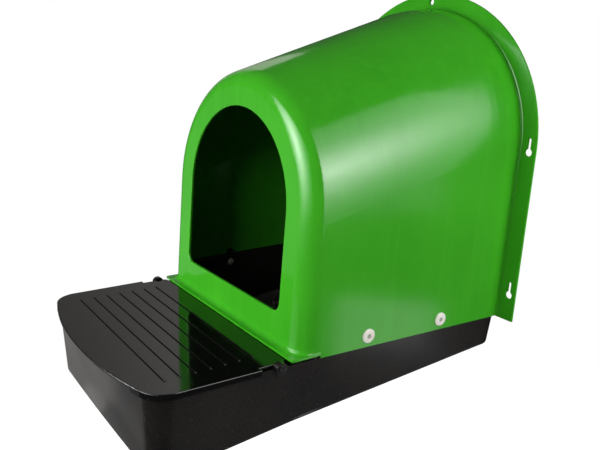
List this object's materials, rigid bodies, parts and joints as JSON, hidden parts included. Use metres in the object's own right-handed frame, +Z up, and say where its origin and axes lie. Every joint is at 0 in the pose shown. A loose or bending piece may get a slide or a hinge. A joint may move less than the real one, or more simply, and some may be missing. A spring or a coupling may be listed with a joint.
{
  "type": "chicken nest box",
  "caption": "Wall-hung roll-away nest box for hens: an arched hood with a doorway stands on a sloped tray, with a hinged ribbed lid over the egg collector.",
  "frame": {"origin": "centre of the four side keyholes' round parts, on the wall plane", "axes": "+Y points into the wall, square to the flange; +X is the width; +Z is up when it hangs"},
  "size_m": [0.3886, 0.508, 0.5075],
  "materials": {
    "hood_plastic": "glossy moulded green",
    "tray_plastic": "satin moulded black",
    "lid_plastic": "high-gloss moulded black",
    "mat_rubber": "moulded, studded, black",
    "rivet_plastic": "moulded white"
  },
  "bodies": {
    "nest_box": {"hood": "hood_plastic", "collector_tray": "tray_plastic", "nest_mat": "mat_rubber", "hinge_pin_right": "tray_plastic", "hinge_pin_left": "tray_plastic", "rivet_sleeves": "rivet_plastic", "rivet_pins": "rivet_plastic"},
    "lid": {"collector_lid": "lid_plastic"}
  },
  "joints": [
    {"name": "lid_hinge", "type": "hinge", "parent": "nest_box", "child": "lid", "pos_m": [0, -0.3435, -0.1258], "axis": [-1, 0, 0], "range_deg": [0, 98.5]}
  ]
}
